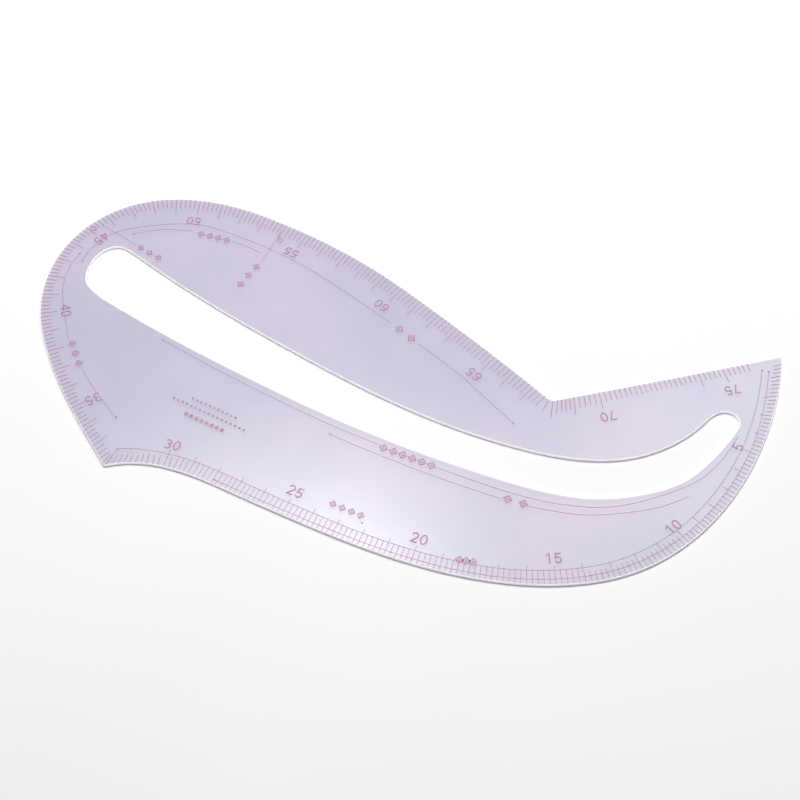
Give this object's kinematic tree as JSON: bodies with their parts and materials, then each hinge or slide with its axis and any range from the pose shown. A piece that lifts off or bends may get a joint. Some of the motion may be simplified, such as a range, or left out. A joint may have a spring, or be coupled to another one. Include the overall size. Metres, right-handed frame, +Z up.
{
  "type": "french curve",
  "caption": "Flat clear plastic drafting curve with a long curved hand slot, a beak-like tip and a red printed centimetre scale round its edge.",
  "frame": {"origin": "middle of the bounding box, on the underside that rests on the paper", "axes": "+X along the sheet's length towards its sharp tip, +Y towards the edge with the notch, +Z up out of the printed face"},
  "size_m": [0.2901, 0.1354, 0.0013],
  "materials": {
    "clear_plastic": "clear, gloss",
    "red_ink": "printed, satin"
  },
  "bodies": {
    "root": {"belly_guide_left": "red_ink", "belly_guide_right": "red_ink", "crown_guide_left": "red_ink", "crown_guide_right": "red_ink", "curve_sheet": "clear_plastic", "hip_guide_lower": "red_ink", "hip_guide_upper": "red_ink", "inner_guide_left": "red_ink", "inner_guide_right": "red_ink", "left_centre_line": "red_ink", "lower_scale": "red_ink", "numeral_10_tens": "red_ink", "numeral_10_units": "red_ink", "numeral_15_tens": "red_ink", "numeral_15_units": "red_ink", "numeral_20_tens": "red_ink", "numeral_20_units": "red_ink", "numeral_25_tens": "red_ink", "numeral_25_units": "red_ink", "numeral_30_tens": "red_ink", "numeral_30_units": "red_ink", "numeral_35_tens": "red_ink", "numeral_35_units": "red_ink", "numeral_40_tens": "red_ink", "numeral_40_units": "red_ink", "numeral_45_tens": "red_ink", "numeral_45_units": "red_ink", "numeral_50_tens": "red_ink", "numeral_50_units": "red_ink", "numeral_55_tens": "red_ink", "numeral_55_units": "red_ink", "numeral_5_units": "red_ink", "numeral_60_tens": "red_ink", "numeral_60_units": "red_ink", "numeral_65_tens": "red_ink", "numeral_65_units": "red_ink", "numeral_70_tens": "red_ink", "numeral_70_units": "red_ink", "numeral_75_tens": "red_ink", "numeral_75_units": "red_ink", "slot_guide_left": "red_ink", "slot_guide_right": "red_ink"}
  },
  "joints": []
}
